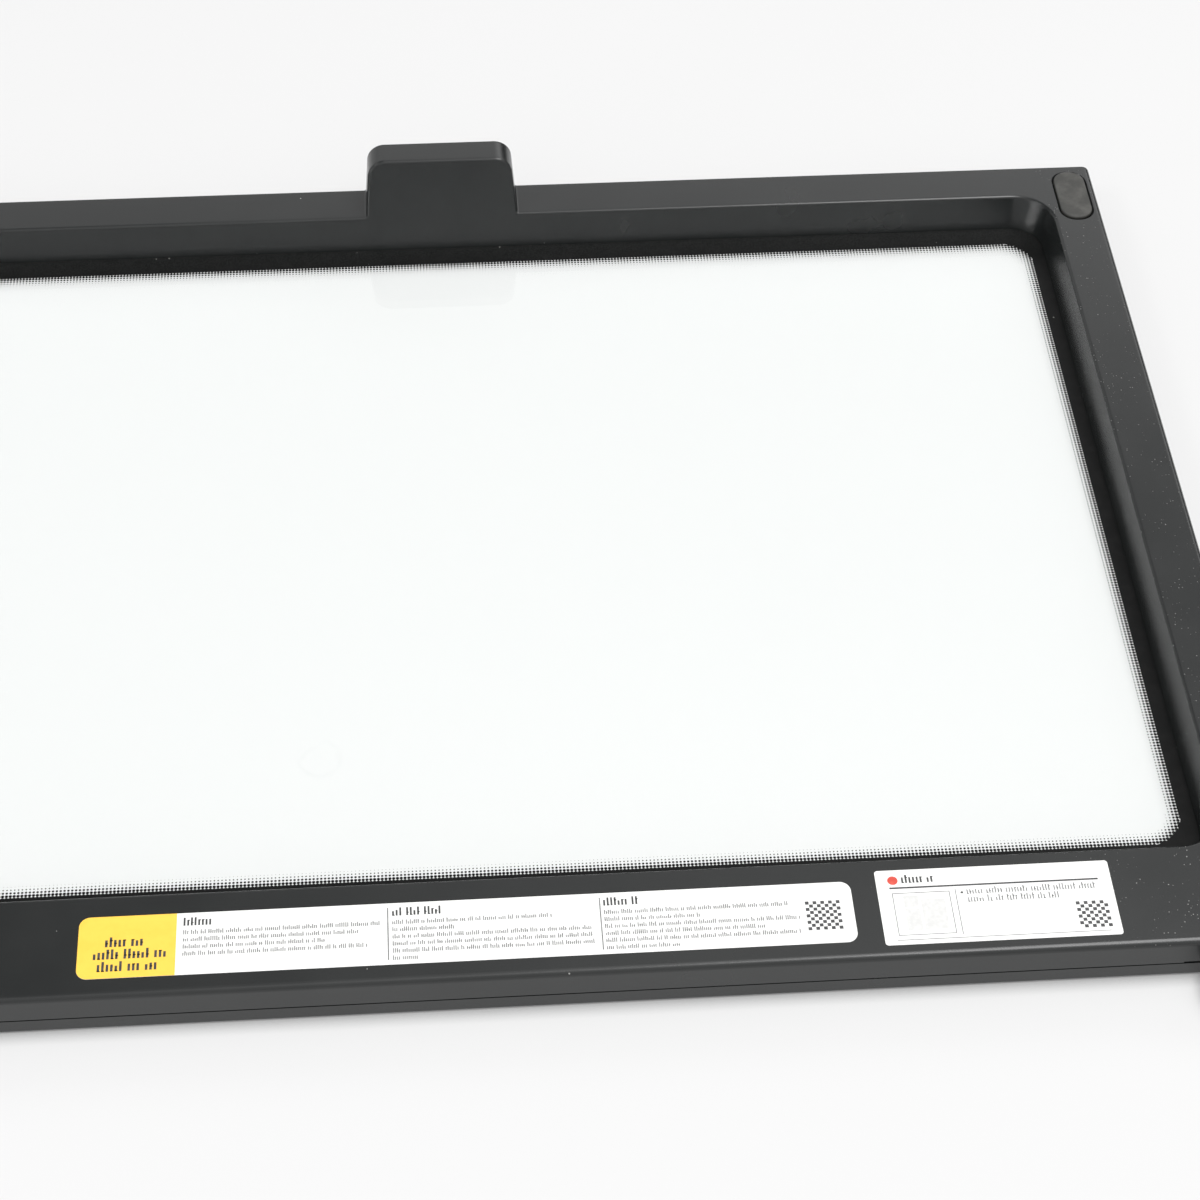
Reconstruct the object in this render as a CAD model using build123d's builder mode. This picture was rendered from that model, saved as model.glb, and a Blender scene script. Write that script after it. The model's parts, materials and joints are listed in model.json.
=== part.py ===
from math import cos, radians, tan
import os

from build123d import *

os.makedirs("parts", exist_ok=True)

# Lid of a top-loading washing machine, inner side up, glass side down. Millimetres.
# +X runs along the hinge line, +Y towards the handle, +Z from the glass to the inner side.

# Overall sizes
lid_width = 600.0
lid_depth = 434.5
frame_top = 20.0
corner_radius = 3.0
rim_round = 2.4

# Window well in the inner frame, sizes at deck level
side_strip = 22.0
front_strip = 21.0
rear_panel = 42.9
well_radius = 18.0
well_slope = 15.5
well_round = 1.5
wall = 2.2
foot_gap = 0.3
reveal_height = 0.6
reveal_depth = 1.0

# Handle tab on the front strip
handle_width = 68.0
handle_height = 26.0
handle_draft = 4.6
handle_corner = 8.0
handle_foot_round = 1.2

# Glass pane and its bead of adhesive
glass_thickness = 4.0
glass_recess = 0.3
glass_edge_gap = 0.5
glass_corner = 3.0
glass_bevel = 0.5
seal_thickness = 0.7
seal_width = 8.0
seal_inset = 3.0

# Outer frame: trim wall, ledge over the pane and a lip that locates the inner frame
trim_wall = 2.5
trim_chamfer = 1.0
ledge_thickness = 1.5
ledge_depth = 18.0
rear_ledge_depth = 39.0
trim_lap = 0.5
lip_height = 2.0
lip_thickness = 1.5
lip_gap = 0.15

# Rubber bumpers in the front corners
bumper_outer_margin = 4.5
bumper_inner_margin = 4.2
bumper_front_margin = 6.2
bumper_length = 31.4
bumper_corner = 6.2
bumper_proud = 0.9
bumper_chamfer = 0.5
pocket_gap = 0.6
pocket_depth = 2.0
pocket_chamfer = 0.8
tub_wall = 2.8

# Self-tapping screws
screw_radius = 1.5
screw_head_radius = 3.1
screw_head_height = 2.0
frame_screw_length = 11.0
hinge_screw_length = 7.0
screw_hole_gap = 0.3
pilot_gap = 0.05
pilot_end = 0.7
boss_radius = 3.5

# Hinge knuckles behind the rear corners
knuckle_radius = 8.0
knuckle_length = 37.0
knuckle_wall = 1.8
knuckle_gap = 0.8
knuckle_lift = 1.0
knuckle_end_wall = 2.0
knuckle_chamfer = 1.0
neck_inset = 2.0
neck_outer_inset = 4.0
neck_gap = 0.5
leaf_depth = 34.0
leaf_thickness = 3.0
leaf_pad_height = 3.7
leaf_screw_spacing = 16.0
leaf_screw_setback = 20.0
slot_lead = 10.0
slot_height = 1.2

# Soft-close damper inside each knuckle
damper_fit = 0.1
damper_recess = 1.0
damper_wall = 1.4
damper_end_wall = 2.2
rotor_gap = 0.3
cap_length = 5.0
cap_fit = 0.05
journal_radius = 3.8
pin_radius = 3.5
pin_length = 10.0
pin_flat_depth = 0.8
pin_chamfer = 0.6
bearing_gap = 0.08
ring_gap = 0.1
ring_length = 1.2

# Stickers on the rear panel
sticker_thickness = 0.15
long_sticker_width = 276.8
long_sticker_depth = 26.4
long_sticker_setback = 0.85
long_sticker_corner = 4.0
short_sticker_width = 85.8
short_sticker_depth = 32.7
short_sticker_corner = 1.2
short_sticker_margin = 68.3
sticker_gap = 9.4

# Places worked out from the sizes above
half_width = lid_width / 2
front_y = (lid_depth + knuckle_gap + 2 * knuckle_radius) / 2
rear_y = front_y - lid_depth
middle_y = (front_y + rear_y) / 2
handle_top = frame_top + handle_height
glass_top = glass_recess + glass_thickness
foot_z = glass_top + foot_gap
ledge_bottom = glass_top + seal_thickness
ledge_top = ledge_bottom + ledge_thickness
parting_height = ledge_top + trim_lap
lip_top = parting_height + lip_height
panel_y = rear_y + rear_panel / 2
well_width = lid_width - 2 * side_strip
well_depth = lid_depth - front_strip - rear_panel
well_y = (front_y - front_strip + rear_y + rear_panel) / 2
slope_rate = tan(radians(well_slope))
draft_rate = tan(radians(handle_draft))

short_sticker_x = half_width - short_sticker_margin - short_sticker_width / 2
long_sticker_x = short_sticker_x - short_sticker_width / 2 - sticker_gap - long_sticker_width / 2

bumper_width = side_strip - bumper_outer_margin - bumper_inner_margin
bumper_x = half_width - bumper_outer_margin - bumper_width / 2
bumper_y = front_y - bumper_front_margin - bumper_length / 2
pocket_floor = frame_top - pocket_depth
tub_bottom = pocket_floor - wall

axis_y = rear_y - knuckle_gap - knuckle_radius
axis_z = knuckle_lift + knuckle_radius
knuckle_end = half_width
knuckle_start = knuckle_end - knuckle_length
neck_start = knuckle_start + neck_inset
neck_end = knuckle_end - neck_outer_inset
neck_middle = (neck_start + neck_end) / 2
neck_bottom = parting_height + neck_gap
leaf_bottom = ledge_top + leaf_pad_height
leaf_top = leaf_bottom + leaf_thickness
leaf_front = rear_y + leaf_depth
leaf_screw_y = rear_y + leaf_screw_setback

damper_start = knuckle_start + knuckle_end_wall
damper_end = knuckle_end - damper_recess
damper_radius = knuckle_radius - knuckle_wall - damper_fit
chamber_radius = damper_radius - damper_wall
chamber_start = damper_start + damper_end_wall
cap_start = damper_end - cap_length
ring_start = cap_start - ring_gap - ring_length
rotor_end = ring_start - ring_gap

touch = 0.01
overcut = 1.0


def level(z, y=middle_y):
    return Plane(origin=(0, y, z))


hinge_line = Plane(origin=(0, axis_y, axis_z), x_dir=(0, 1, 0), z_dir=(1, 0, 0))


def frame_form(inset, bottom):
    # Skirt, deck and handle tab as one block, with every outer face moved in by inset.
    tab_bottom = frame_top - inset - wall
    tab_top = handle_top - inset
    sides = [
        handle_width / 2 - (z - frame_top) * draft_rate - inset / cos(radians(handle_draft))
        for z in (tab_bottom, tab_top)
    ]
    with BuildPart() as form:
        with BuildSketch(level(bottom)):
            Rectangle(lid_width - 2 * inset, lid_depth - 2 * inset)
        extrude(amount=frame_top - inset - bottom)
        with BuildSketch(Plane.XZ.offset(inset - front_y)) as outline:
            with BuildLine():
                Polyline(
                    (-sides[0], tab_bottom),
                    (sides[0], tab_bottom),
                    (sides[1], tab_top),
                    (-sides[1], tab_top),
                    close=True,
                )
            make_face()
            fillet(outline.vertices().group_by(Axis.Y)[-1], handle_corner - inset)
        extrude(amount=front_strip + wall)
    return form.part


def well_form(grow):
    # The window well, sloped all round, that also trims the back of the handle tab:
    # two wedge-sided blocks crossed through four upright cones at the corners.
    low = foot_z - overcut
    high = handle_top + overcut
    deck_radius = well_radius + grow / cos(radians(well_slope))
    radii = [deck_radius + (z - frame_top) * slope_rate for z in (low, high)]
    core_x = well_width / 2 - well_radius
    core_y = well_depth / 2 - well_radius
    across = Plane(origin=(0, well_y, 0), x_dir=(1, 0, 0), z_dir=(0, -1, 0))
    along = Plane(origin=(0, well_y, 0), x_dir=(0, 1, 0), z_dir=(1, 0, 0))
    with BuildPart() as form:
        for profile_plane, core, run in ((across, core_x, core_y), (along, core_y, core_x)):
            with BuildSketch(profile_plane):
                with BuildLine():
                    Polyline(
                        (-core - radii[0], low),
                        (core + radii[0], low),
                        (core + radii[1], high),
                        (-core - radii[1], high),
                        close=True,
                    )
                make_face()
            extrude(amount=run, both=True)
        with Locations((0, well_y, low)):
            with GridLocations(2 * core_x, 2 * core_y, 2, 2):
                Cone(*radii, high - low, align=(Align.CENTER, Align.CENTER, Align.MIN))
    return form.part


def on_outline(edge):
    place = edge @ 0.5
    reach = corner_radius / 2
    on_side = abs(abs(place.X) - half_width) < reach
    on_end = min(abs(place.Y - front_y), abs(place.Y - rear_y)) < reach
    return on_side or on_end


def above_deck(edge):
    return edge.bounding_box().min.Z > frame_top - touch


def at_handle_foot(edge):
    place = edge @ 0.5
    return abs(place.Z - frame_top) < touch and abs(place.X) < handle_width / 2 + touch


# Inner frame: one thin-walled moulding, open towards the glass
with BuildPart() as hollow:
    add(frame_form(wall, foot_z - overcut))
    with BuildSketch(level(foot_z - overcut)):
        Rectangle(lid_width + 2 * overcut, lid_depth + 2 * overcut)
    extrude(amount=parting_height - foot_z + overcut)
    add(well_form(wall), mode=Mode.SUBTRACT)

with BuildPart() as inner_frame:
    add(frame_form(0, foot_z))
    fillet(inner_frame.edges().filter_by(Axis.Z), corner_radius)
    fillet(inner_frame.edges().filter_by(Axis.Y).filter_by(at_handle_foot), handle_foot_round)
    fillet(inner_frame.edges().filter_by(above_deck).filter_by(on_outline), rim_round)
    add(well_form(0), mode=Mode.SUBTRACT)
    fillet(inner_frame.edges(Select.LAST).filter_by(above_deck), well_round)
    add(hollow.part, mode=Mode.SUBTRACT)
    # Tubs that hold the bumpers, each with a countersunk screw hole in its floor
    pocket_width = bumper_width + 2 * pocket_gap
    pocket_length = bumper_length + 2 * pocket_gap
    with BuildSketch(level(tub_bottom, bumper_y)):
        with Locations((-bumper_x, 0), (bumper_x, 0)):
            RectangleRounded(
                pocket_width + 2 * tub_wall,
                pocket_length + 2 * tub_wall,
                bumper_corner + pocket_gap + tub_wall,
            )
    extrude(amount=frame_top - wall / 2 - tub_bottom)
    with BuildSketch(level(pocket_floor, bumper_y)):
        with Locations((-bumper_x, 0), (bumper_x, 0)):
            RectangleRounded(pocket_width, pocket_length, bumper_corner + pocket_gap)
    extrude(amount=pocket_depth, mode=Mode.SUBTRACT)
    chamfer(inner_frame.edges(Select.LAST).group_by(Axis.Z)[-1], pocket_chamfer)
    with Locations((-bumper_x, bumper_y, pocket_floor), (bumper_x, bumper_y, pocket_floor)):
        CounterSinkHole(screw_radius + screw_hole_gap, screw_head_radius + pilot_gap, depth=2 * wall)
    # Reveal line round the outside, above the outer frame
    with BuildSketch(level(parting_height)):
        Rectangle(lid_width + 2 * overcut, lid_depth + 2 * overcut)
        Rectangle(lid_width - 2 * reveal_depth, lid_depth - 2 * reveal_depth, mode=Mode.SUBTRACT)
    extrude(amount=reveal_height, mode=Mode.SUBTRACT)
    # Slots in the skirt for the hinge necks
    with BuildSketch(level(parting_height, rear_y)):
        with Locations((-neck_middle, 0), (neck_middle, 0)):
            Rectangle(neck_end - neck_start + 2 * neck_gap, 2 * (wall + lip_gap))
    extrude(amount=leaf_top + neck_gap - parting_height, mode=Mode.SUBTRACT)
    with BuildSketch(level(parting_height, rear_y)):
        lead_middle = neck_start - slot_lead / 2
        with Locations((-lead_middle, 0), (lead_middle, 0)):
            Rectangle(slot_lead + 2 * neck_gap, 2 * (wall + lip_gap))
    extrude(amount=slot_height, mode=Mode.SUBTRACT)
inner_frame.part.label = "inner_frame"
export_step(inner_frame.part, "parts/inner_frame.step")

# Outer frame: trim wall round the pane, ledge over its edge and a locating lip
with BuildPart() as outer_frame:
    with BuildSketch(level(0)):
        Rectangle(lid_width, lid_depth)
    extrude(amount=parting_height)
    fillet(outer_frame.edges().filter_by(Axis.Z), corner_radius)
    chamfer(outer_frame.edges().group_by(Axis.Z)[0], trim_chamfer)
    lip_outer = wall + lip_gap
    with BuildSketch(level(ledge_top)):
        Rectangle(lid_width - 2 * trim_wall, lid_depth - 2 * trim_wall)
    extrude(amount=parting_height - ledge_top, mode=Mode.SUBTRACT)
    with BuildSketch(level(ledge_top)):
        Rectangle(lid_width - 2 * lip_outer, lid_depth - 2 * lip_outer)
        lip_inner = lip_outer + lip_thickness
        Rectangle(lid_width - 2 * lip_inner, lid_depth - 2 * lip_inner, mode=Mode.SUBTRACT)
    extrude(amount=lip_top - ledge_top)
    with BuildSketch(level(0)):
        Rectangle(lid_width - 2 * trim_wall, lid_depth - 2 * trim_wall)
    extrude(amount=ledge_bottom, mode=Mode.SUBTRACT)
    window_depth = lid_depth - ledge_depth - rear_ledge_depth
    with BuildSketch(level(0, middle_y + (rear_ledge_depth - ledge_depth) / 2)):
        RectangleRounded(lid_width - 2 * ledge_depth, window_depth, glass_corner)
    extrude(amount=lip_top, mode=Mode.SUBTRACT)
    # Gaps in the lip for the hinge necks
    with BuildSketch(level(parting_height, rear_y)):
        gap_start = neck_start - slot_lead
        with Locations((-(gap_start + neck_end) / 2, 0), ((gap_start + neck_end) / 2, 0)):
            Rectangle(neck_end - gap_start + 2 * neck_gap, 2 * lip_inner + 2 * overcut)
    extrude(amount=lip_top - parting_height, mode=Mode.SUBTRACT)
    # Bosses under the bumper tubs and a pad under each hinge leaf
    with BuildSketch(level(ledge_top, bumper_y)):
        with Locations((-bumper_x, 0), (bumper_x, 0)):
            Circle(boss_radius)
    extrude(amount=tub_bottom - ledge_top)
    with BuildSketch(level(ledge_top, leaf_screw_y)):
        with Locations((-neck_middle, 0), (neck_middle, 0)):
            Rectangle(leaf_screw_spacing + 2 * boss_radius, 2 * boss_radius)
    extrude(amount=leaf_pad_height)
    pilot_floor = ledge_bottom + pilot_end
    with BuildSketch(level(pilot_floor, 0)):
        with Locations((-bumper_x, bumper_y), (bumper_x, bumper_y)):
            Circle(screw_radius + pilot_gap)
        with Locations((-neck_middle, leaf_screw_y), (neck_middle, leaf_screw_y)):
            with GridLocations(leaf_screw_spacing, 0, 2, 1):
                Circle(screw_radius + pilot_gap)
    extrude(amount=tub_bottom - pilot_floor, mode=Mode.SUBTRACT)
outer_frame.part.label = "outer_frame"
export_step(outer_frame.part, "parts/outer_frame.step")

# Glass pane with ground edges
glass_inset = trim_wall + glass_edge_gap
with BuildPart() as glass_panel:
    with BuildSketch(level(glass_recess)):
        RectangleRounded(lid_width - 2 * glass_inset, lid_depth - 2 * glass_inset, glass_corner)
    extrude(amount=glass_thickness)
    flat_faces = glass_panel.faces().filter_by(Axis.Z)
    chamfer(flat_faces.edges(), glass_bevel)
glass_panel.part.label = "glass_panel"
export_step(glass_panel.part, "parts/glass_panel.step")

# Bead of adhesive between the pane and the ledge
bead_outer = glass_inset + seal_inset
bead_inner = bead_outer + seal_width
with BuildPart() as glass_seal:
    with BuildSketch(level(glass_top)):
        RectangleRounded(lid_width - 2 * bead_outer, lid_depth - 2 * bead_outer, seal_width)
        Rectangle(lid_width - 2 * bead_inner, lid_depth - 2 * bead_inner, mode=Mode.SUBTRACT)
    extrude(amount=seal_thickness)
glass_seal.part.label = "glass_seal"
export_step(glass_seal.part, "parts/glass_seal.step")

# Rubber bumper on the floor of its pocket
with BuildPart() as bumper:
    with BuildSketch(Plane(origin=(bumper_x, bumper_y, pocket_floor))):
        RectangleRounded(bumper_width, bumper_length, bumper_corner)
    extrude(amount=pocket_depth + bumper_proud)
    chamfer(bumper.faces().sort_by(Axis.Z)[-1].edges(), bumper_chamfer)

# Countersunk screws through the pocket floors
with BuildPart() as frame_screws:
    with BuildSketch(level(pocket_floor - frame_screw_length, bumper_y)):
        with Locations((-bumper_x, 0), (bumper_x, 0)):
            Circle(screw_radius)
    extrude(amount=frame_screw_length)
    cone_height = screw_head_radius - screw_radius
    with Locations((-bumper_x, bumper_y, pocket_floor), (bumper_x, bumper_y, pocket_floor)):
        Cone(screw_radius, screw_head_radius, cone_height, align=(Align.CENTER, Align.CENTER, Align.MAX))
frame_screws.part.label = "frame_screws"
export_step(frame_screws.part, "parts/frame_screws.step")

# Hinge housing: knuckle behind the rear wall, neck through the slot, leaf inside the frame
with BuildPart() as hinge_housing:
    with BuildSketch(hinge_line.offset(knuckle_start)):
        Circle(knuckle_radius)
    extrude(amount=knuckle_length)
    chamfer(hinge_housing.faces().sort_by(Axis.X)[-1].edges(), knuckle_chamfer)
    step_y = rear_y + wall + lip_gap + lip_thickness + overcut
    with BuildSketch(Plane.YZ.offset(neck_start)):
        with BuildLine():
            Polyline(
                (axis_y, neck_bottom),
                (step_y, neck_bottom),
                (step_y, leaf_bottom),
                (leaf_front, leaf_bottom),
                (leaf_front, leaf_top),
                (axis_y, leaf_top),
                close=True,
            )
        make_face()
    extrude(amount=neck_end - neck_start)
    with BuildSketch(hinge_line.offset(damper_start)):
        Circle(damper_radius + damper_fit)
    extrude(amount=knuckle_end - damper_start, mode=Mode.SUBTRACT)
    with BuildSketch(Plane(origin=(neck_middle, leaf_screw_y, leaf_bottom))):
        with GridLocations(leaf_screw_spacing, 0, 2, 1):
            Circle(screw_radius + screw_hole_gap)
    extrude(amount=leaf_thickness, mode=Mode.SUBTRACT)

# Hexagon-head screws that hold the leaves on their pads
with BuildPart() as hinge_screws:
    with BuildSketch(level(leaf_top - hinge_screw_length, leaf_screw_y)):
        with Locations((-neck_middle, 0), (neck_middle, 0)):
            with GridLocations(leaf_screw_spacing, 0, 2, 1):
                Circle(screw_radius)
    extrude(amount=hinge_screw_length)
    with BuildSketch(level(leaf_top, leaf_screw_y)):
        with Locations((-neck_middle, 0), (neck_middle, 0)):
            with GridLocations(leaf_screw_spacing, 0, 2, 1):
                RegularPolygon(screw_head_radius, 6)
    extrude(amount=screw_head_height)
hinge_screws.part.label = "hinge_screws"
export_step(hinge_screws.part, "parts/hinge_screws.step")

# Damper sleeve, closed at its inner end
with BuildPart() as damper_body:
    with BuildSketch(hinge_line.offset(damper_start)):
        Circle(damper_radius)
    extrude(amount=damper_end - damper_start)
    with BuildSketch(hinge_line.offset(chamber_start)):
        Circle(chamber_radius)
    extrude(amount=damper_end - chamber_start, mode=Mode.SUBTRACT)

# Damper shaft: rotor in the grease chamber and a flatted pin that stands out of the knuckle
with BuildPart() as damper_shaft:
    with BuildSketch(hinge_line.offset(chamber_start + rotor_gap)):
        Circle(chamber_radius - rotor_gap)
    extrude(amount=rotor_end - chamber_start - rotor_gap)
    with BuildSketch(hinge_line.offset(rotor_end)):
        Circle(journal_radius)
    extrude(amount=knuckle_end - rotor_end)
    with BuildSketch(hinge_line.offset(knuckle_end)):
        Circle(pin_radius)
    extrude(amount=pin_length)
    chamfer(damper_shaft.faces().sort_by(Axis.X)[-1].edges(), pin_chamfer)
    with BuildSketch(hinge_line.offset(knuckle_end)):
        with Locations((2 * pin_radius - pin_flat_depth, 0)):
            Rectangle(2 * pin_radius, 2 * pin_radius)
    extrude(amount=pin_length, mode=Mode.SUBTRACT)

# Bush that closes the sleeve and carries the shaft
with BuildPart() as damper_cap:
    with BuildSketch(hinge_line.offset(cap_start)):
        Circle(chamber_radius - cap_fit)
        Circle(journal_radius + bearing_gap, mode=Mode.SUBTRACT)
    extrude(amount=cap_length)

# Square-cut ring that keeps the grease in
with BuildPart() as damper_seal:
    with BuildSketch(hinge_line.offset(ring_start)):
        Circle(chamber_radius - ring_gap)
        Circle(journal_radius + ring_gap, mode=Mode.SUBTRACT)
    extrude(amount=ring_length)

# Pieces that stand on both sides of the lid
paired_pieces = {
    "bumper": bumper,
    "hinge_housing": hinge_housing,
    "damper_body": damper_body,
    "damper_shaft": damper_shaft,
    "damper_cap": damper_cap,
    "damper_seal": damper_seal,
}
for piece_name, right_piece in paired_pieces.items():
    with BuildPart() as left_piece:
        mirror(right_piece.part, about=Plane.YZ)
    right_piece.part.label = f"{piece_name}_right"
    left_piece.part.label = f"{piece_name}_left"
    export_step(right_piece.part, f"parts/{piece_name}_right.step")
    export_step(left_piece.part, f"parts/{piece_name}_left.step")

# Stickers on the rear panel
with BuildPart() as long_sticker:
    with BuildSketch(Plane(origin=(long_sticker_x, panel_y - long_sticker_setback, frame_top))):
        RectangleRounded(long_sticker_width, long_sticker_depth, long_sticker_corner)
    extrude(amount=sticker_thickness)
long_sticker.part.label = "long_sticker"
export_step(long_sticker.part, "parts/long_sticker.step")

with BuildPart() as short_sticker:
    with BuildSketch(Plane(origin=(short_sticker_x, panel_y, frame_top))):
        RectangleRounded(short_sticker_width, short_sticker_depth, short_sticker_corner)
    extrude(amount=sticker_thickness)
short_sticker.part.label = "short_sticker"
export_step(short_sticker.part, "parts/short_sticker.step")
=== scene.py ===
import json
import math
import random

import bmesh
import bpy
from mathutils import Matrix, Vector


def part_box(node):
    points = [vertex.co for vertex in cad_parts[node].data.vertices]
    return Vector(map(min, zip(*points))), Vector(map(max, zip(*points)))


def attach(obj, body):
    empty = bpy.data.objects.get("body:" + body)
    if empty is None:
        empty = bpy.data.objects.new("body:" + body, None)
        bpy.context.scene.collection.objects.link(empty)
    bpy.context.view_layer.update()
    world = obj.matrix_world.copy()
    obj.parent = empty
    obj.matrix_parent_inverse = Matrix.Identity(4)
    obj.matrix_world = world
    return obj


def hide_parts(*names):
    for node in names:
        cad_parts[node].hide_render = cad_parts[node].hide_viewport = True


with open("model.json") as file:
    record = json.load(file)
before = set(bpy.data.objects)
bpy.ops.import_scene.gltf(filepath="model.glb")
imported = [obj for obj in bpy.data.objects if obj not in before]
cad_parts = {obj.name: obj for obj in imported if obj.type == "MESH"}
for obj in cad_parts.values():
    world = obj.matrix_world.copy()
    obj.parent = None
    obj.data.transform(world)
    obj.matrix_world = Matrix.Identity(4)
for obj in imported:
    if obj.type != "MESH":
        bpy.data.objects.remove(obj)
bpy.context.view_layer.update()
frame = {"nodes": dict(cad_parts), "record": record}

scene = bpy.context.scene
scene.view_settings.view_transform = "Standard"
mm = 0.001  # the frame is in metres, sizes below are in millimetres
print("frame loaded:", len(frame["nodes"]), "nodes")


# shader tools

class Wire:
    # one shader value; plain arithmetic on it adds Math nodes
    def __init__(self, bench, node, socket):
        self.bench = bench
        self.node = node
        self.socket = socket

    def out(self, name):
        return Wire(self.bench, self.node, self.node.outputs[name])

    def maths(self, operation, *values):
        return self.bench.add("ShaderNodeMath", {"operation": operation}, dict(enumerate(values)))

    def __add__(self, other):
        return self.maths("ADD", self, other)

    def __sub__(self, other):
        return self.maths("SUBTRACT", self, other)

    def __rsub__(self, other):
        return self.maths("SUBTRACT", other, self)

    def __mul__(self, other):
        return self.maths("MULTIPLY", self, other)

    def __gt__(self, other):
        return self.maths("GREATER_THAN", self, other)

    def __lt__(self, other):
        return self.maths("LESS_THAN", self, other)

    __radd__ = __add__
    __rmul__ = __mul__

    def smaller(self, other):
        return self.maths("MINIMUM", self, other)

    def larger(self, other):
        return self.maths("MAXIMUM", self, other)

    def rise(self, low, high):
        # 0 below low, 1 above high, smooth between
        settings = {"interpolation_type": "SMOOTHSTEP"}
        inputs = {"Value": self, "From Min": low, "From Max": high}
        return self.bench.add("ShaderNodeMapRange", settings, inputs)


class Bench:
    # a node tree under construction
    def __init__(self, tree):
        self.tree = tree
        tree.nodes.clear()

    def add(self, kind, settings=None, inputs=None):
        node = self.tree.nodes.new(kind)
        for key, value in (settings or {}).items():
            setattr(node, key, value)
        for key, value in (inputs or {}).items():
            if isinstance(value, Wire):
                self.tree.links.new(value.socket, node.inputs[key])
            else:
                node.inputs[key].default_value = value
        return Wire(self, node, next((s for s in node.outputs if s.enabled), None))

    def blend(self, factor, first, second):
        # colours and vectors mix here
        return self.add("ShaderNodeMix", {"data_type": "RGBA"}, {0: factor, 6: first, 7: second}).out(2)

    def place(self, stretch=(1, 1, 1)):
        # the frame's own coordinates, in millimetres
        spot = self.add("ShaderNodeTexCoord").out("Object")
        scale = [s / mm for s in stretch]
        return self.add("ShaderNodeVectorMath", {"operation": "MULTIPLY"}, {0: spot, 1: scale})

    def noise(self, where, size, detail=2.0, rough=0.5):
        inputs = {"Vector": where, "Scale": 1 / size, "Detail": detail, "Roughness": rough}
        return self.add("ShaderNodeTexNoise", None, inputs)

    def cells(self, where, size):
        return self.add("ShaderNodeTexVoronoi", None, {"Vector": where, "Scale": 1 / size})

    def split(self, vector):
        # the X, Y and Z of a vector
        parts = self.add("ShaderNodeSeparateXYZ", None, {0: vector})
        return [parts.out(axis) for axis in "XYZ"]

    def distance(self, where, point):
        ends = {0: where, 1: point}
        return self.add("ShaderNodeVectorMath", {"operation": "DISTANCE"}, ends).out("Value")

    def bump(self, height, depth):
        return self.add("ShaderNodeBump", None, {"Height": height, "Distance": depth * mm})


def grey(level):
    return (level, level, level, 1)


def newMaterial(name):
    material = bpy.data.materials.new(name)
    material.use_nodes = True
    return material, Bench(material.node_tree)


def closeMaterial(material, bench, shader):
    bench.add("ShaderNodeOutputMaterial", None, {"Surface": shader})
    return material


# camera at the photograph's viewpoint

cameraFit = {
    "lens": 81.92,
    "place": (-4.68, -753.23, 822.93),
    "turn": (41.990, -0.780, -3.915),
    "sensor": 36,
}

cameraData = bpy.data.cameras.new("photo_camera")
cameraData.lens = cameraFit["lens"]
cameraData.sensor_width = cameraFit["sensor"]
camera = bpy.data.objects.new("photo_camera", cameraData)
camera.location = Vector(cameraFit["place"]) * mm
camera.rotation_euler = [math.radians(angle) for angle in cameraFit["turn"]]
scene.collection.objects.link(camera)
scene.camera = camera
print("camera placed")


# white table, soft boxes and the room's even light

studio = {
    "tableColour": 0.84,
    "backWhite": 0.97,  # what the camera sees past the table
    "tableWhite": 0.80,
    "paneWhite": 0.94,  # the table as seen through the glass
    "tableShare": 0.64,  # how much of the table's white is plain white, the rest shows shadow
    "tableHalf": 1600,
    "tableFar": (650, 1400),  # the table turns plain white between these distances
    "tableDrop": 0.2,  # below the lid's lowest face
    "contactReach": 6,  # width of the painted contact shadow, a dark line where the lid meets the table
    # darkest colour of the painted contact shadow
    "paintedShadowTone": 0.15,
    "contactRise": (0.4, 1.0),  # how open to the sky the darkest and the clear table are, for the painted shadow
    "contactRays": 4,
    "room": 0.20,  # even light from above and all round
    "overhead": 1.62,  # soft ceiling light, stronger on the right
    "back": 1.75,  # white card behind and above the handle edge
    "corner": 0.9,  # low white card behind the left end
    "fill": 0.80,  # pale wall on the camera's side
    # where each light starts and where it is full, by the direction's X, Y or Z
    "roomZ": (0.0, 0.5),
    "overheadX": (-0.22, 0.18),
    "overheadZ": (0.72, 0.86),
    "backY": (0.2, 0.5),
    "backLowZ": (0.36, 0.48),
    "backHighZ": (0.58, 0.69),
    "cornerX": (0.25, 0.5),
    "cornerY": (0.1, 0.4),
    "cornerHighZ": (0.3, 0.5),
    "fillY": (0.0, 0.6),
    "boxes": {
        # name: middle, size, radiance; all face the lid
        "key_box": ((650, -200, 1600), (1300, 500), 7.5),
        "left_box": ((-1250, -300, 1500), (600, 400), 7.0),
        "side_box": ((-1500, -900, 380), (900, 500), 4.0),
    },
}


def seenDirectly(bench):
    # 1 for rays that show the background: straight from the camera, mirrored or through glass
    path = bench.add("ShaderNodeLightPath")
    mirrored = path.out("Is Glossy Ray").larger(path.out("Is Transmission Ray"))
    return path.out("Is Camera Ray").larger(mirrored)


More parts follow.
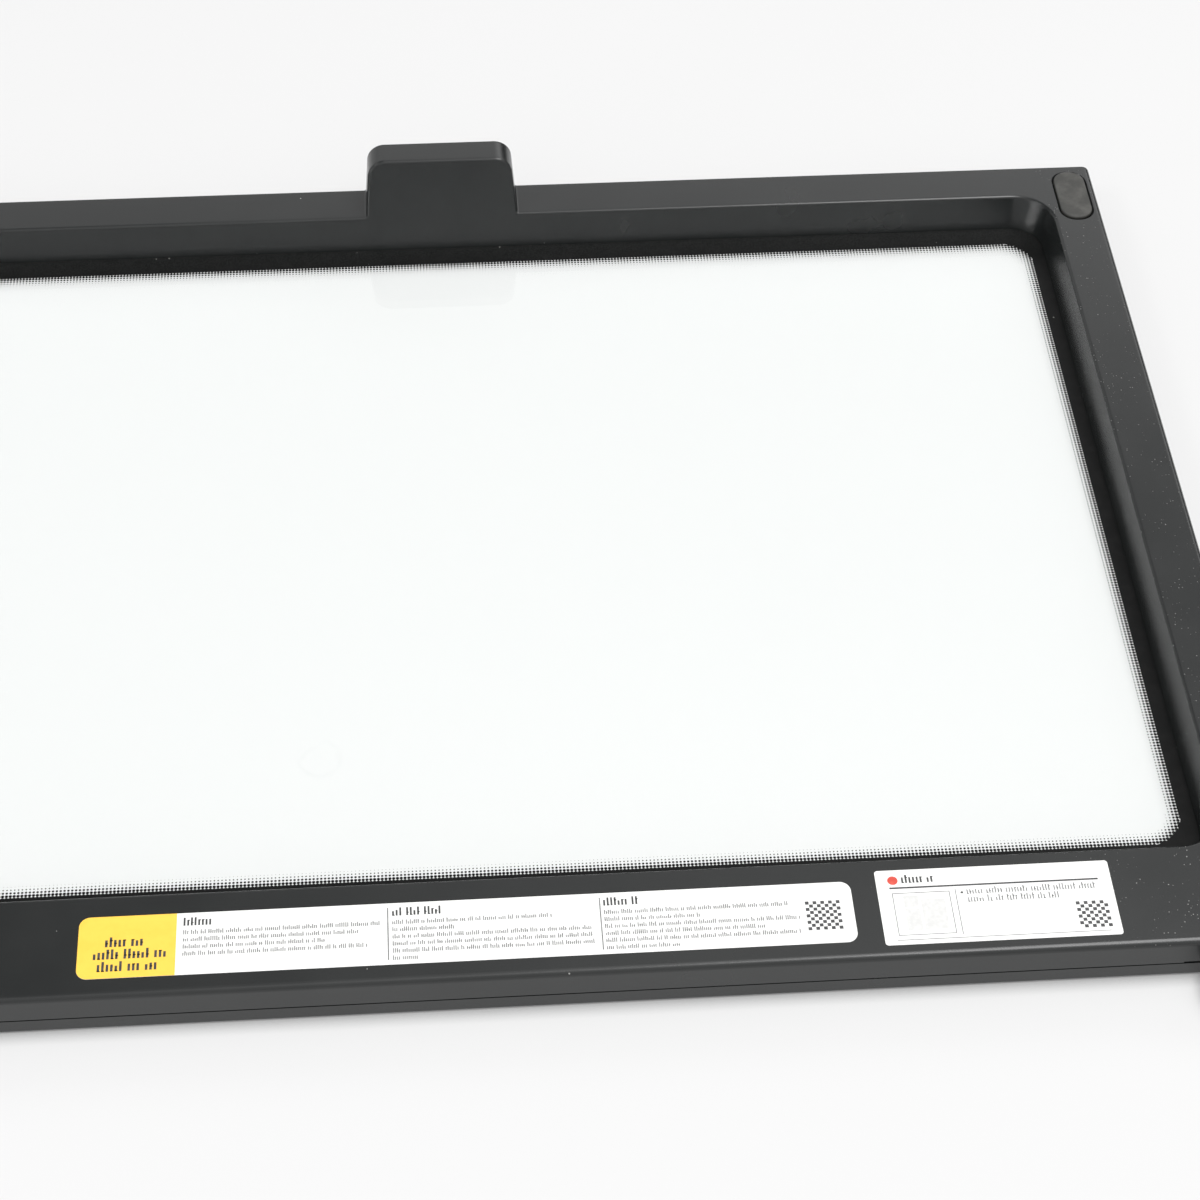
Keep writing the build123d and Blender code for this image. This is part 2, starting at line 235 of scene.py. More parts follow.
def makeTable():
    half = studio["tableHalf"] * mm
    z = -studio["tableDrop"] * mm
    mesh = bpy.data.meshes.new("table")
    corners = [(-half, -half, z), (half, -half, z), (half, half, z), (-half, half, z)]
    mesh.from_pydata(corners, [], [(0, 1, 2, 3)])
    table = bpy.data.objects.new("table", mesh)
    scene.collection.objects.link(table)
    material, bench = newMaterial("white_table")
    paper = bench.add("ShaderNodeBsdfDiffuse", None, {"Color": grey(studio["tableColour"])})
    reach = {"Distance": studio["contactReach"] * mm}
    rays = {"samples": studio["contactRays"]}
    openSky = bench.add("ShaderNodeAmbientOcclusion", rays, reach).out("AO")
    bare = bench.add("ShaderNodeLightPath").out("Is Camera Ray")  # not under the glass
    far = bench.distance(bench.place(), (0, 0, 0)).rise(*studio["tableFar"])
    level = bench.blend(bare, grey(studio["paneWhite"]), grey(studio["tableWhite"]))
    level = bench.blend(far, level, grey(studio["backWhite"]))
    # painted contact shadow: camera rays see the table's white darkened where the lid hides its sky
    shade = (1 - openSky.rise(*studio["contactRise"])) * bare
    whiteWithPaintedShadow = bench.blend(shade, level, grey(studio["paintedShadowTone"]))
    white = bench.add("ShaderNodeEmission", None, {"Color": whiteWithPaintedShadow})
    share = (studio["tableShare"] + far * (1 - studio["tableShare"])) * seenDirectly(bench)
    top = bench.add("ShaderNodeMixShader", None, {0: share, 1: paper, 2: white})
    below = bench.add("ShaderNodeBsdfTransparent")
    behind = bench.add("ShaderNodeNewGeometry").out("Backfacing")
    both = bench.add("ShaderNodeMixShader", None, {0: behind, 1: top, 2: below})
    mesh.materials.append(closeMaterial(material, bench, both))


def makeLights():
    world = bpy.data.worlds.new("room")
    scene.world = world
    world.use_nodes = True
    bench = Bench(world.node_tree)
    x, y, z = bench.split(bench.add("ShaderNodeTexCoord").out("Generated"))
    room = z.rise(*studio["roomZ"]) * studio["room"]
    overhead = x.rise(*studio["overheadX"]) * z.rise(*studio["overheadZ"]) * studio["overhead"]
    cardBand = z.rise(*studio["backLowZ"]) * (1 - z.rise(*studio["backHighZ"]))
    card = y.rise(*studio["backY"]) * cardBand * (1 + x) * studio["back"]
    cornerBand = y.rise(*studio["cornerY"]) * (1 - z.rise(*studio["cornerHighZ"]))
    corner = (x * -1).rise(*studio["cornerX"]) * cornerBand * studio["corner"]
    fill = (y * -1).rise(*studio["fillY"]) * studio["fill"]
    path = bench.add("ShaderNodeLightPath")
    cameraRay = path.out("Is Camera Ray").larger(path.out("Is Transmission Ray"))
    level = room + overhead + card + corner + fill
    even = bench.add("ShaderNodeBackground", None, {"Color": grey(1), "Strength": level})
    white = bench.add("ShaderNodeBackground", None, {"Color": grey(1), "Strength": studio["backWhite"]})
    sky = bench.add("ShaderNodeMixShader", None, {0: cameraRay, 1: even, 2: white})
    bench.add("ShaderNodeOutputWorld", None, {"Surface": sky})
    for name, (middle, size, radiance) in studio["boxes"].items():
        lamp = bpy.data.lights.new(name, "AREA")
        lamp.shape = "RECTANGLE"
        lamp.size, lamp.size_y = [side * mm for side in size]
        lamp.energy = radiance * math.pi * lamp.size * lamp.size_y
        holder = bpy.data.objects.new(name, lamp)
        holder.location = Vector(middle) * mm
        holder.rotation_euler = (holder.location * -1).to_track_quat("-Z", "Y").to_euler()
        holder.visible_camera = False
        scene.collection.objects.link(holder)


makeTable()
makeLights()
print("table and lights set")


# finishes

def dust(bench, where, cell, reach, share):
    # scattered specks, 1 on a speck: cell is their spacing, reach a speck's half width,
    # and share tells how many cells have one
    found = bench.cells(where, cell)
    pick = bench.add("ShaderNodeSeparateColor", None, {"Color": found.out("Color")})
    kept = pick.out("Red") < share
    size = pick.out("Green") * 0.7 + 0.3  # the smallest speck is 0.3 of the largest
    return (found.out("Distance") < size * (reach / cell)) * kept


framePlastic = {
    "colour": (0.0100, 0.0112, 0.0112, 1),
    "worn": (0.0124, 0.0136, 0.0135, 1),
    "dustColour": (0.25, 0.25, 0.24, 1),
    "roughness": 0.26,
    "roughSpread": 0.08,
    "grainSize": 0.45,
    "grainDepth": 0.001,
    "cloudSize": 38,
    "dustCell": 6.5,
    "dustReach": 0.36,
    "dustShare": 0.22,
    "dustRough": 0.3,
    "dustyCorner": (268, -178, 20),  # most of the dust lies on the rear panel's right end
    "dustyRadius": 60,
    "dustyStrip": (262, 284),  # and along the right strip, from here outwards
    "dustyStripShare": 0.6,
    "dustyDrift": 11,  # size of the drifts it gathers in
    "dustyFine": (1.5, 0.27, 0.75),
}


def mouldedPlastic(name, look):
    material, bench = newMaterial(name)
    where = bench.place()
    cloud = bench.noise(where, look["cloudSize"], 3)
    grain = bench.noise(where, look["grainSize"], 2, 0.6)
    colour = bench.blend(cloud.rise(0.35, 0.7), look["colour"], look["worn"])
    specks = dust(bench, where, look["dustCell"], look["dustReach"], look["dustShare"])
    if "dustyCorner" in look:
        away = bench.distance(where, look["dustyCorner"])
        near = 1 - away.rise(look["dustyRadius"] * 0.2, look["dustyRadius"])
        along = bench.split(where)[0].rise(*look["dustyStrip"]) * look["dustyStripShare"]
        drift = bench.noise(where, look["dustyDrift"], 3).rise(0.40, 0.58)
        specks = specks.larger(dust(bench, where, *look["dustyFine"]) * (near + along) * drift)
    up = bench.split(bench.add("ShaderNodeNewGeometry").out("Normal"))[2]
    specks = specks * up.rise(0.2, 0.6)  # dust lies on what faces up
    colour = bench.blend(specks, colour, look["dustColour"])
    rough = look["roughness"] + (cloud - 0.5) * look["roughSpread"] + specks * look["dustRough"]
    shader = bench.add("ShaderNodeBsdfPrincipled", None, {
        "Base Color": colour,
        "Roughness": rough,
        "Normal": bench.bump(grain, look["grainDepth"]),
    })
    return closeMaterial(material, bench, shader)


cleanPlastic = {key: value for key, value in framePlastic.items() if not key.startswith("dusty")}
trimPlastic = dict(cleanPlastic, dustShare=0.08)
hingePlastic = dict(trimPlastic, roughness=0.42, grainSize=0.8, grainDepth=0.01)

windowGlass = {
    "tint": (0.995, 0.999, 0.997, 1),
    "smear": (0.962, 0.970, 0.966, 1),
    "index": 1.34,
    "ringAt": (-56.0, -94.0, 4.3),
    "ringRadius": 8.5,
    "ringWidth": 1.1,
    "ringWobble": 4,
    "ringWobbleSize": 6,
    "ringTone": 0.8,
    "filmSize": 90,
    "filmTone": 0.12,
    "dust": (14, 0.35, 0.25),
    "lightTint": (0.93, 0.95, 0.94, 1),  # on light that passes through
}


def clearGlass(name, look):
    material, bench = newMaterial(name)
    where = bench.place()
    wobble = bench.noise(where, look["ringWobbleSize"], 3)
    away = bench.distance(where, look["ringAt"]) + wobble * look["ringWobble"]
    gap = away - (look["ringRadius"] + look["ringWobble"] / 2)
    offset = gap.larger(gap * -1)
    ring = (1 - offset.rise(0, look["ringWidth"])) * wobble.rise(0.35, 0.6)
    film = bench.noise(where, look["filmSize"], 4).rise(0.5, 0.8)
    marks = ring * look["ringTone"] + film * look["filmTone"] + dust(bench, where, *look["dust"])
    colour = bench.blend(marks.smaller(1), look["tint"], look["smear"])
    glass = bench.add("ShaderNodeBsdfPrincipled", None, {
        "Base Color": colour,
        "Roughness": 0.0,
        "IOR": look["index"],
        "Transmission Weight": 1.0,
    })
    clear = bench.add("ShaderNodeBsdfTransparent", None, {"Color": look["lightTint"]})
    path = bench.add("ShaderNodeLightPath")
    lit = path.out("Is Shadow Ray").larger(path.out("Is Diffuse Ray"))
    shader = bench.add("ShaderNodeMixShader", None, {0: lit, 1: glass, 2: clear})
    return closeMaterial(material, bench, shader)


fritEnamel = {
    "colour": (0.0045, 0.0047, 0.0047, 1),
    "thin": (0.007, 0.007, 0.007, 1),
    # the colour the border turns towards the handle side
    "film": (0.020, 0.021, 0.0205, 1),
    "lighterBandFrom": (178, 204),  # the border turns lighter and grainy towards the handle side, in Y
    "dustColour": (0.22, 0.22, 0.21, 1),
    "cloudSize": 5,
    "lighterBandGrain": 0.7,
    "dust": (5, 0.34, 0.25),
    "roughness": 0.42,
    "roughSpread": 0.08,
    "shine": 0.10,
    "toothSize": 0.9,
    "toothDepth": 0.003,
}


def firedEnamel(name, look):
    material, bench = newMaterial(name)
    where = bench.place()
    cloud = bench.noise(where, look["cloudSize"], 3)
    specks = dust(bench, where, *look["dust"])
    # lighter, grainy colour along the handle side
    along = bench.split(where)[1].rise(*look["lighterBandFrom"])
    film = along * bench.noise(where, look["lighterBandGrain"], 3).rise(0.3, 0.7)
    colour = bench.blend(cloud.rise(0.4, 0.7), look["colour"], look["thin"])
    colour = bench.blend(film, colour, look["film"])
    colour = bench.blend(specks, colour, look["dustColour"])
    shader = bench.add("ShaderNodeBsdfPrincipled", None, {
        "Base Color": colour,
        "Roughness": look["roughness"] + (cloud - 0.5) * look["roughSpread"],
        "Specular IOR Level": look["shine"],
        "Normal": bench.bump(bench.noise(where, look["toothSize"], 2), look["toothDepth"]),
    })
    return closeMaterial(material, bench, shader)


bumperRubber = {
    "colour": (0.040, 0.040, 0.037, 1),
    "chalk": (0.075, 0.074, 0.068, 1),
    "dustColour": (0.2, 0.2, 0.19, 1),
    "dust": (2.6, 0.22, 0.3),
    "cloudSize": 7,
    "grainSize": 0.35,
    "grainDepth": 0.02,
    "roughness": 0.68,
    "roughSpread": 0.2,
}


def mouldedRubber(name, look):
    material, bench = newMaterial(name)
    where = bench.place()
    cloud = bench.noise(where, look["cloudSize"], 4, 0.6)
    grain = bench.noise(where, look["grainSize"], 2)
    specks = dust(bench, where, *look["dust"])
    colour = bench.blend(cloud.rise(0.35, 0.75), look["colour"], look["chalk"])
    colour = bench.blend(specks, colour, look["dustColour"])
    shader = bench.add("ShaderNodeBsdfPrincipled", None, {
        "Base Color": colour,
        "Roughness": look["roughness"] + (grain - 0.5) * look["roughSpread"],
        "Normal": bench.bump(grain, look["grainDepth"]),
    })
    return closeMaterial(material, bench, shader)


steelLook = {
    "bright": (0.62, 0.62, 0.61, 1),
    "dull": (0.42, 0.42, 0.42, 1),
    "roughness": 0.26,
    "roughSpread": 0.18,
    "lineStretch": (3.0, 0.25, 0.25),  # turning lines run round the X axis
    "lineSize": 0.5,
    "lineDepth": 0.006,
    "stainSize": 3.5,
}


def turnedSteel(name, look):
    material, bench = newMaterial(name)
    where = bench.place(look["lineStretch"])
    lines = bench.noise(where, look["lineSize"], 3)
    stain = bench.noise(bench.place(), look["stainSize"], 3)
    colour = bench.blend(stain.rise(0.4, 0.75), look["bright"], look["dull"])
    shader = bench.add("ShaderNodeBsdfPrincipled", None, {
        "Base Color": colour,
        "Metallic": 1.0,
        "Roughness": look["roughness"] + (lines - 0.5) * look["roughSpread"],
        "Normal": bench.bump(lines, look["lineDepth"]),
    })
    return closeMaterial(material, bench, shader)


damperPlastic = {
    "colour": (0.30, 0.31, 0.32, 1),
    "shade": (0.24, 0.25, 0.26, 1),
    "roughness": 0.45,
}

sealantLook = {
    "colour": (0.008, 0.008, 0.008, 1),
    "shade": (0.014, 0.014, 0.014, 1),
    "roughness": 0.5,
}

vinylLook = {
    "colour": (0.86, 0.86, 0.845, 1),
    "shade": (0.83, 0.83, 0.81, 1),
    "roughness": 0.42,
}

amberInk = {
    "colour": (0.95, 0.58, 0.075, 1),
    "shade": (0.93, 0.55, 0.065, 1),
    "roughness": 0.40,
}

darkInk = {
    "colour": (0.035, 0.035, 0.037, 1),
    "shade": (0.06, 0.06, 0.062, 1),
    "roughness": 0.45,
}

greyInk = {
    "colour": (0.16, 0.16, 0.165, 1),
    "shade": (0.24, 0.24, 0.245, 1),
    "roughness": 0.45,
}

paleInk = {
    "colour": (0.66, 0.66, 0.65, 1),
    "shade": (0.60, 0.60, 0.59, 1),
    "roughness": 0.45,
}

redInk = {
    "colour": (0.58, 0.055, 0.035, 1),
    "shade": (0.64, 0.09, 0.06, 1),
    "roughness": 0.42,
}


glossSpread = 0.12


def mottled(name, look, cloudSize, grainSize, grainDepth):
    # a plain colour with its own clouding, uneven gloss and fine tooth
    material, bench = newMaterial(name)
    where = bench.place()
    cloud = bench.noise(where, cloudSize, 3)
    grain = bench.noise(where, grainSize, 2)
    shader = bench.add("ShaderNodeBsdfPrincipled", None, {
        "Base Color": bench.blend(cloud.rise(0.35, 0.7), look["colour"], look["shade"]),
        "Roughness": look["roughness"] + (cloud - 0.5) * glossSpread,
        "Normal": bench.bump(grain, grainDepth),
    })
    return closeMaterial(material, bench, shader)


finishes = {
    "frame_plastic": mouldedPlastic("satin_frame_plastic", framePlastic),
    "trim_plastic": mouldedPlastic("satin_trim_plastic", trimPlastic),
    "hinge_plastic": mouldedPlastic("hinge_plastic", hingePlastic),
    "window_glass": clearGlass("window_glass", windowGlass),
    "sealant": mottled("cured_sealant", sealantLook, 4, 0.8, 0.05),
    "bumper_rubber": mouldedRubber("bumper_rubber", bumperRubber),
    "screw_steel": turnedSteel("screw_steel", dict(steelLook, lineStretch=(1, 1, 1))),
    "shaft_steel": turnedSteel("shaft_steel", steelLook),
    "damper_plastic": mottled("damper_plastic", damperPlastic, 6, 0.5, 0.01),
    "sticker_vinyl": mottled("sticker_vinyl", vinylLook, 9, 0.5, 0.004),
}
enamel = firedEnamel("frit_enamel", fritEnamel)
inks = {
    "amber": mottled("amber_ink", amberInk, 5, 0.4, 0.002),
    "dark": mottled("dark_ink", darkInk, 2, 0.4, 0.002),
    "grey": mottled("grey_ink", greyInk, 2, 0.4, 0.002),
    "red": mottled("red_ink", redInk, 2, 0.4, 0.002),
    "pale": mottled("pale_ink", paleInk, 2, 0.4, 0.002),
}

slotOf = {part["node"]: part["material_slot"] for part in frame["record"]["subparts"]}
for name, node in frame["nodes"].items():
    node.data.materials.clear()
    node.data.materials.append(finishes[slotOf[name]])
print("finishes made:", len(finishes) + len(inks) + 1)


# mesh tools

def addPiece(name, points, faces, material):
    # points in millimetres; every piece here belongs to the lid
    mesh = bpy.data.meshes.new(name)
    mesh.from_pydata([Vector(point) * mm for point in points], [], faces)
    mesh.materials.append(material)
    mesh.validate()
    piece = bpy.data.objects.new(name, mesh)
    scene.collection.objects.link(piece)
    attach(piece, "lid")
    return piece


def roundedLoop(low, high, radii, steps):
    # rounded rectangle, counter-clockwise from the right front corner
    corners = [(high[0], high[1]), (low[0], high[1]), (low[0], low[1]), (high[0], low[1])]
    middle = [(a + b) / 2 for a, b in zip(low, high)]
    loop = []
    for turn, (corner, radius) in enumerate(zip(corners, radii)):
        centre = [c - math.copysign(radius, c - m) for c, m in zip(corner, middle)]
        for step in range(steps + 1):
            angle = math.radians(90 * (turn + step / steps))
            loop.append((centre[0] + radius * math.cos(angle), centre[1] + radius * math.sin(angle)))
    return loop


def stackLoops(levels):
    # closed solid through loops of equal length, each a list of points in space, bottom first
    count = len(levels[0])
    points = [point for level in levels for point in level]
    faces = [tuple(reversed(range(count)))]
    for ring in range(len(levels) - 1):
        for i in range(count):
            j = (i + 1) % count
            base = ring * count
            faces.append((base + i, base + j, base + count + j, base + count + i))
    faces.append(tuple(range(count * (len(levels) - 1), count * len(levels))))
    return points, faces


class Sheet:
    # gathers many small closed solids into one mesh
    def __init__(self):
        self.points = []
        self.faces = []

    def take(self, points, faces):
        start = len(self.points)
        self.points += points
        self.faces += [tuple(start + i for i in face) for face in faces]

    def block(self, x0, x1, y0, y1, z0, z1):
        loop = [(x1, y1), (x0, y1), (x0, y0), (x1, y0)]
        self.take(*stackLoops([[(x, y, z) for x, y in loop] for z in (z0, z1)]))

    def disc(self, x, y, radius, z0, z1, sides):
        angles = [2 * math.pi * i / sides for i in range(sides)]
        loop = [(x + radius * math.cos(a), y + radius * math.sin(a)) for a in angles]
        self.take(*stackLoops([[(px, py, z) for px, py in loop] for z in (z0, z1)]))


def boxOf(node):
    low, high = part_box(node)
    return [v / mm for v in low], [v / mm for v in high]


# the two mouldings as shells whose rounded edges shade smoothly into their flats

shellForm = {
    "inner_frame": "inner_frame_shell",
    "outer_frame": "outer_frame_shell",
}
crease = math.radians(35)  # sharper edges stay crisp
weld = 0.001  # points closer than this become one


def smoothNormals(work):
    # for each face corner, the faces round its point that bend less than a crease, large ones first
    normals = []
    for face in work.faces:
        for loop in face.loops:
            total = Vector()
            for other in loop.vert.link_faces:
                if face.normal.angle(other.normal, 0) < crease:
                    total += other.normal * other.calc_area() ** 2
            normals.append(total.normalized())
    return normals


def makeShell(node, name):
    moulding = frame["nodes"][node]
    work = bmesh.new()
    work.from_mesh(moulding.data)
    bmesh.ops.remove_doubles(work, verts=work.verts, dist=weld * mm)
    work.normal_update()
    mesh = bpy.data.meshes.new(name)
    work.to_mesh(mesh)
    mesh.shade_smooth()
    mesh.normals_split_custom_set(smoothNormals(work))
    work.free()
    mesh.materials.clear()
    mesh.materials.append(moulding.data.materials[0])
    shell = bpy.data.objects.new(name, mesh)
    scene.collection.objects.link(shell)
    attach(shell, "lid")
    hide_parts(node)


for node, name in shellForm.items():
    makeShell(node, name)
print("shells made")


# black fired-on border of the pane, with a fringe of dots

fritBorder = {
    "side": 31.7,  # from the lid's edge to the clear window
    "front": 35.5,
    "rear": 55.0,
    "corner": 15.0,
    "gap": 0.01,
    "thickness": 0.02,
    "cornerSteps": 24,
    "bareRim": 0.8,  # ground edge of the pane without print
    "paneCorner": 2.4,
    "dotPitch": 1.4,
    "dotShares": (0.60, 0.46, 0.34, 0.21, 0.09),  # radius by row, in pitches
    "dotSides": 8,
    "dotOverlap": 0.3,  # how far past the border's edge a dot may start, in pitches
}


def makeFrit():
    low, high = boxOf("outer_frame")
    glassLow, glassHigh = boxOf("glass_panel")
    z = glassHigh[2] + fritBorder["gap"]
    top = z + fritBorder["thickness"]
    inLow = (low[0] + fritBorder["side"], low[1] + fritBorder["rear"])
    inHigh = (high[0] - fritBorder["side"], high[1] - fritBorder["front"])
    steps = fritBorder["cornerSteps"]
    outLow = [v + fritBorder["bareRim"] for v in glassLow[:2]]
    outHigh = [v - fritBorder["bareRim"] for v in glassHigh[:2]]
    outer = roundedLoop(outLow, outHigh, [fritBorder["paneCorner"]] * 4, steps)
    inner = roundedLoop(inLow, inHigh, [fritBorder["corner"]] * 4, steps)
    count = len(outer)
    points = [(x, y, level) for level in (z, top) for loop in (outer, inner) for x, y in loop]
    faces = []
    for i in range(count):
        j = (i + 1) % count
        a, b, c, d = 0, count, 2 * count, 3 * count  # outer low, inner low, outer high, inner high
        faces += [(a + i, b + i, b + j, a + j), (c + i, c + j, d + j, d + i)]
        faces += [(a + i, a + j, c + j, c + i), (b + i, d + i, d + j, b + j)]
    addPiece("frit_border", points, faces, enamel)

    pitch = fritBorder["dotPitch"]
    counts = [round((b - a) / pitch) for a, b in zip(inLow, inHigh)]
    pitchX, pitchY = [(b - a) / n for a, b, n in zip(inLow, inHigh, counts)]
    shares = fritBorder["dotShares"]
    corner = fritBorder["corner"]
    sides = fritBorder["dotSides"]
    angles = [2 * math.pi * i / sides for i in range(sides)]
    turns = [(math.cos(angle), math.sin(angle)) for angle in angles]
    cone = [tuple(reversed(range(sides)))] + [(i, (i + 1) % sides, sides) for i in range(sides)]
    dots = Sheet()
    for column in range(counts[0] + 1):
        for row in range(counts[1] + 1):
            x = inLow[0] + column * pitchX
            y = inLow[1] + row * pitchY
            toSide = min(x - inLow[0], inHigh[0] - x)
            toEnd = min(y - inLow[1], inHigh[1] - y)
            depth = min(toSide, toEnd)
            if toSide < corner and toEnd < corner:
                depth = corner - math.hypot(corner - toSide, corner - toEnd)
            rank = max(depth / pitch, 0)
            if depth > -fritBorder["dotOverlap"] * pitch and rank < len(shares) - 1:
                step = int(rank)
                radius = pitch * (shares[step] + (shares[step + 1] - shares[step]) * (rank - step))
                ring = [(x + radius * c, y + radius * s, z) for c, s in turns]
                dots.take(ring + [(x, y, top)], cone)
    addPiece("frit_dots", dots.points, dots.faces, enamel)
    print("frit printed:", len(dots.points) // (sides + 1), "dots")


makeFrit()


# print on the stickers: fields of colour, rules and rows of plain strokes

printing = {
    "lift": 0.004,
    "ink": 0.02,
    "seed": 4,
    # strokes, all by the row's height
    "strokeStep": 0.52,
    "strokeHeights": (1, 1, 1, 1.4, 1.4, 0.8),
    "crossHeights": (0, 0.42, 0.84),
    "crossWidth": 0.16,
    # and by the step
    "crossLength": 0.72,
    "groupGap": 0.9,
    "groupSizes": (2, 9),  # strokes in a group
    "crossShare": 0.55,  # how many strokes have a cross bar
    "cellFill": 0.96,
}

longPrint = {
    "amberWidth": 34.6,
    "corner": 4.0,
    "innerCorner": 0.01,
    "cornerSteps": 8,
    "rules": (109.4, 185.5),  # dividers, from the left edge
    "ruleWidth": 0.45,
    "ruleInset": 1.9,
    "columns": (
        # start, header length, line ends, all from the left edge
        (37.0, 12.0, (107.0, 99.5, 88.5, 103.0)),
        (111.2, 20.0, (169.0, 134.0, 183.0, 183.5, 184.0, 121.5)),
        (187.0, 13.0, (254.0, 222.0, 257.5, 245.0, 257.0, 213.5)),
    ),
    "headTop": 3.0,
    "headHeight": 2.5,
    "firstLine": 7.9,
    "linePitch": 3.05,
    "lineHeight": 1.35,
    "signRows": ((9.6, 15.12), (5.6, 26.28), (7.2, 22.5)),  # inset and length of the heavy rows on amber
    "signTop": 10.2,
    "signPitch": 5.2,
    "signHeight": 3.0,
    "signWeight": 0.3,  # a stroke's width by its height
    "headWeight": 0.27,
    "lineWeight": 0.27,
    "codeAt": (259.5, 8.0),
    "codeSide": 12.6,
    "codeCells": 9,
}

shortPrint = {
    "dotAt": (6.2, 4.6),
    "dotRadius": 1.9,
    "headAt": (9.4, 3.3),
    "headLength": 13.2,
    "headHeight": 2.6,
    "ruleAt": (4.6, 7.6),
    "ruleEnd": 81.0,
    "ruleWidth": 0.75,
    "fieldAt": (5.2, 10.2),
    "fieldSize": (21.0, 18.6),
    "fieldLine": 0.3,
    "patches": (
        # x, width, y, height
        (9.0, 5.5, 11.6, 5.0),
        (9.0, 5.5, 17.2, 9.6),
        (15.2, 8.8, 13.4, 13.2),
    ),
    "dividerAt": 28.2,
    "dividerSpan": (9.4, 29.4),
    "bulletAt": (30.6, 11.2),
    "lines": ((32.4, 81.6, 10.0), (32.4, 67.0, 13.5)),
    "lineHeight": 2.0,
    "headWeight": 0.27,
    "lineWeight": 0.22,
    "bulletRadius": 0.5,
    "codeAt": (71.0, 17.6),
    "codeSide": 11.6,
    "codeCells": 8,
    "footAt": 30.6,
    "footSpan": (4.4, 81.8),
    "footWidth": 0.3,
}


class Label:
    # measures from a sticker's left edge and from its far edge
    def __init__(self, node, sheets):
        low, high = boxOf(node)
        self.left = low[0]
        self.far = high[1]
        self.depth = high[1] - low[1]
        self.low = high[2] + printing["lift"]
        self.high = self.low + printing["ink"]
        self.sheets = sheets

    def bar(self, ink, x, length, y, height):
        left = self.left + x
        top = self.far - y
        self.sheets[ink].block(left, left + length, top - height, top, self.low, self.high)

    def row(self, ink, x, end, y, height, weight):
        # a line of print as upright strokes in groups, for print too small to read
        stroke = height * weight
        step = height * printing["strokeStep"]
        crossLength = step * printing["crossLength"]
        crossWidth = height * printing["crossWidth"]
        while x < end - step:
            for place in range(draw.randint(*printing["groupSizes"])):
                if x > end - step:
                    break
                rise = height * draw.choice(printing["strokeHeights"])
                self.bar(ink, x, stroke, y + height - rise, rise)
                if draw.random() < printing["crossShare"]:
                    crossY = y + height * draw.choice(printing["crossHeights"])
                    self.bar(ink, x, crossLength, crossY, crossWidth)
                x += step
            x += step * printing["groupGap"]

    def code(self, ink, x, y, side, cells):
        # a plain chequered square
        cell = side / cells
        filled = cell * printing["cellFill"]
        for column in range(cells):
            for line in range(cells):
                if (column + line) % 2 == 0:
                    self.bar(ink, x + column * cell, filled, y + line * cell, filled)

    def frameBox(self, ink, x, y, width, depth, line):
        self.bar(ink, x, width, y, line)
        self.bar(ink, x, width, y + depth - line, line)
        inset = line * 1.1  # the uprights stop just short of the bars
        self.bar(ink, x, line, y + inset, depth - inset * 2)
        self.bar(ink, x + width - line, line, y + inset, depth - inset * 2)


def printLong(sheets):
    look = longPrint
    label = Label("long_sticker", sheets)
    corner = look["corner"]
    low = (label.left, label.far - label.depth)
    high = (label.left + look["amberWidth"], label.far)
    inner = look["innerCorner"]
    loop = roundedLoop(low, high, [inner, corner, corner, inner], look["cornerSteps"])
    sheets["amber"].take(*stackLoops([[(x, y, z) for x, y in loop] for z in (label.low, label.high)]))
    label.low = label.high + printing["lift"]  # the rest goes on top of the amber field
    label.high = label.low + printing["ink"]
    for i, (inset, length) in enumerate(look["signRows"]):
        y = look["signTop"] + i * look["signPitch"]
        label.row("dark", inset, inset + length, y, look["signHeight"], look["signWeight"])
    for rule in look["rules"]:
        label.bar("grey", rule, look["ruleWidth"], look["ruleInset"], label.depth - 2 * look["ruleInset"])
    for start, head, ends in look["columns"]:
        label.row("dark", start, start + head, look["headTop"], look["headHeight"], look["headWeight"])
        for i, end in enumerate(ends):
            y = look["firstLine"] + i * look["linePitch"]
            label.row("grey", start, end, y, look["lineHeight"], look["lineWeight"])
    label.code("dark", *look["codeAt"], look["codeSide"], look["codeCells"])


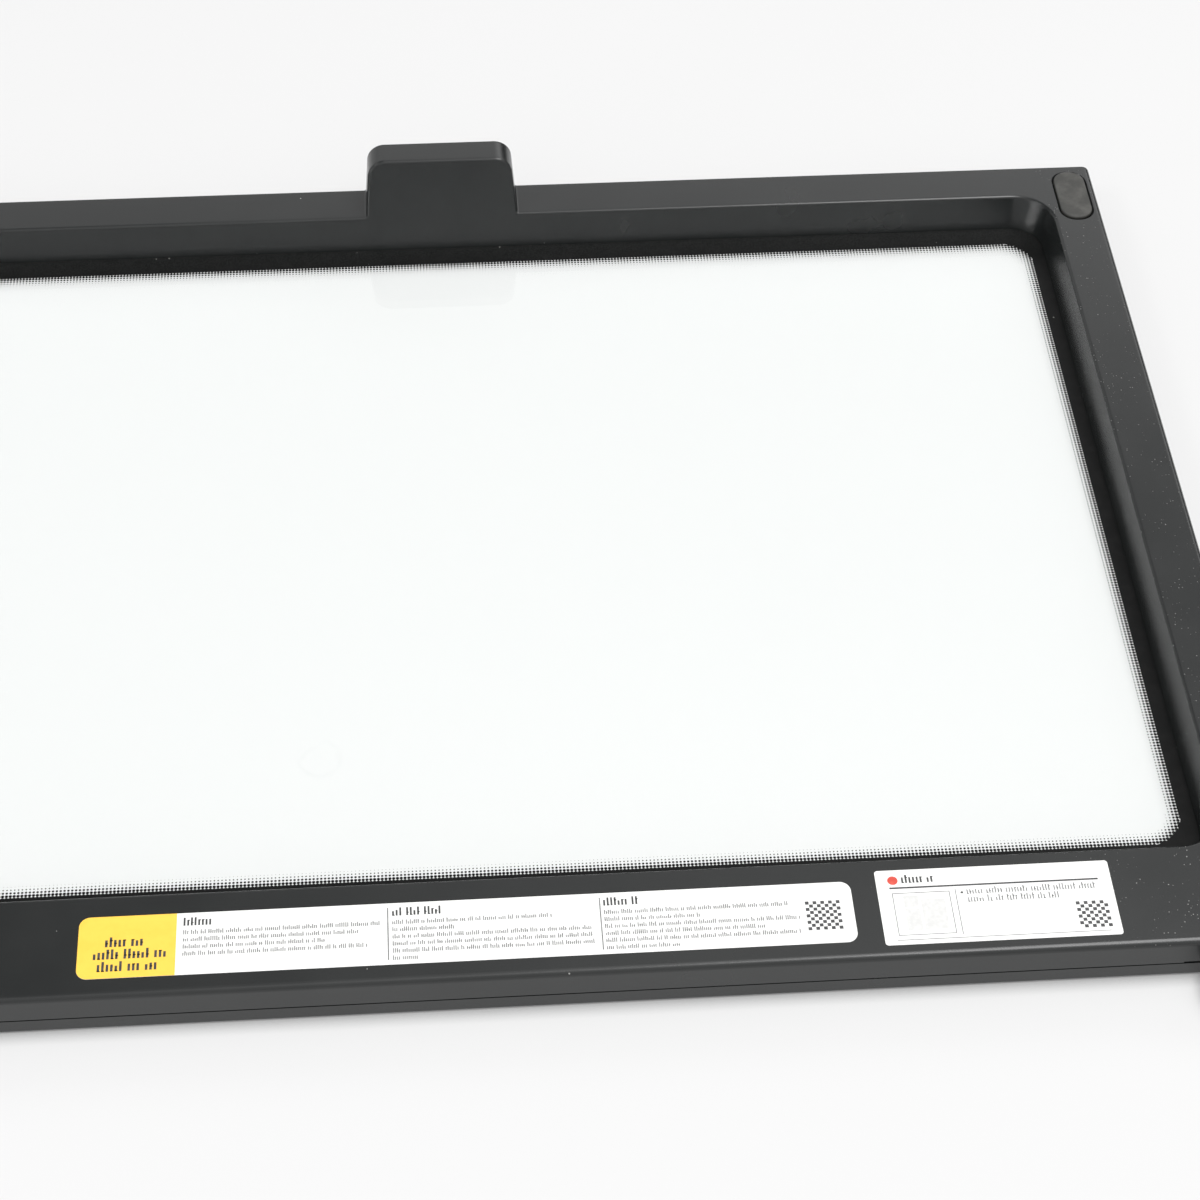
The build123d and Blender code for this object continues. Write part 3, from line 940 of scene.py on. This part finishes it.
def printShort(sheets):
    look = shortPrint
    label = Label("short_sticker", sheets)
    dotX, dotY = look["dotAt"]
    sheets["red"].disc(label.left + dotX, label.far - dotY, look["dotRadius"], label.low, label.high, 32)
    headX, headY = look["headAt"]
    headEnd = headX + look["headLength"]
    label.row("dark", headX, headEnd, headY, look["headHeight"], look["headWeight"])
    ruleX, ruleY = look["ruleAt"]
    label.bar("dark", ruleX, look["ruleEnd"] - ruleX, ruleY, look["ruleWidth"])
    label.frameBox("grey", *look["fieldAt"], *look["fieldSize"], look["fieldLine"])
    for x, width, y, height in look["patches"]:
        label.bar("pale", x, width, y, height)
    start, stop = look["dividerSpan"]
    label.bar("grey", look["dividerAt"], look["fieldLine"], start, stop - start)
    bulletX, bulletY = look["bulletAt"]
    bulletX, bulletY = label.left + bulletX, label.far - bulletY
    sheets["dark"].disc(bulletX, bulletY, look["bulletRadius"], label.low, label.high, 16)
    for start, end, y in look["lines"]:
        label.row("grey", start, end, y, look["lineHeight"], look["lineWeight"])
    label.code("dark", *look["codeAt"], look["codeSide"], look["codeCells"])
    start, stop = look["footSpan"]
    label.bar("grey", start, stop - start, look["footAt"], look["footWidth"])


draw = random.Random(printing["seed"])
for stickerName, printSticker in (("long", printLong), ("short", printShort)):
    sheets = {ink: Sheet() for ink in inks}
    printSticker(sheets)
    for ink, sheet in sheets.items():
        if sheet.points:
            pieceName = f"{stickerName}_sticker_{ink}_print"
            addPiece(pieceName, sheet.points, sheet.faces, inks[ink])
print("stickers printed")


# rubber bumpers with soft edges

bumperForm = {
    "corner": 6.65,
    "round": 0.7,
    "roundSteps": 6,
    "cornerSteps": 14,
    "crown": 0.12,
    "crownSteps": (0.35, 0.7),
    "foot": 0.02,
    "spread": 0.45,  # the rubber fills its pocket but for a slit at the near end
}


def makeBumper(node):
    low, high = boxOf(node)
    form = bumperForm
    low[0] -= form["spread"]
    high = [high[0] + form["spread"], high[1] + form["spread"], high[2]]
    profile = [(0.0, low[2] + form["foot"])]
    for step in range(form["roundSteps"] + 1):
        angle = math.radians(90 * step / form["roundSteps"])
        inset = form["round"] * (1 - math.cos(angle))
        profile.append((inset, high[2] - form["crown"] - form["round"] * (1 - math.sin(angle))))
    for share in form["crownSteps"]:
        inset = form["round"] + (form["corner"] - form["round"]) * share
        profile.append((inset, high[2] - form["crown"] * (1 - share) ** 2))
    levels = []
    for inset, z in profile:
        inLow = [v + inset for v in low[:2]]
        inHigh = [v - inset for v in high[:2]]
        loop = roundedLoop(inLow, inHigh, [form["corner"] - inset] * 4, form["cornerSteps"])
        levels.append([(x, y, z) for x, y in loop])
    points, faces = stackLoops(levels)
    padName = node.replace("bumper", "bumper_pad")
    pad = addPiece(padName, points, faces, finishes["bumper_rubber"])
    pad.data.shade_smooth()
    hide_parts(node)


for side in ("left", "right"):
    makeBumper("bumper_" + side)
print("bumpers made")
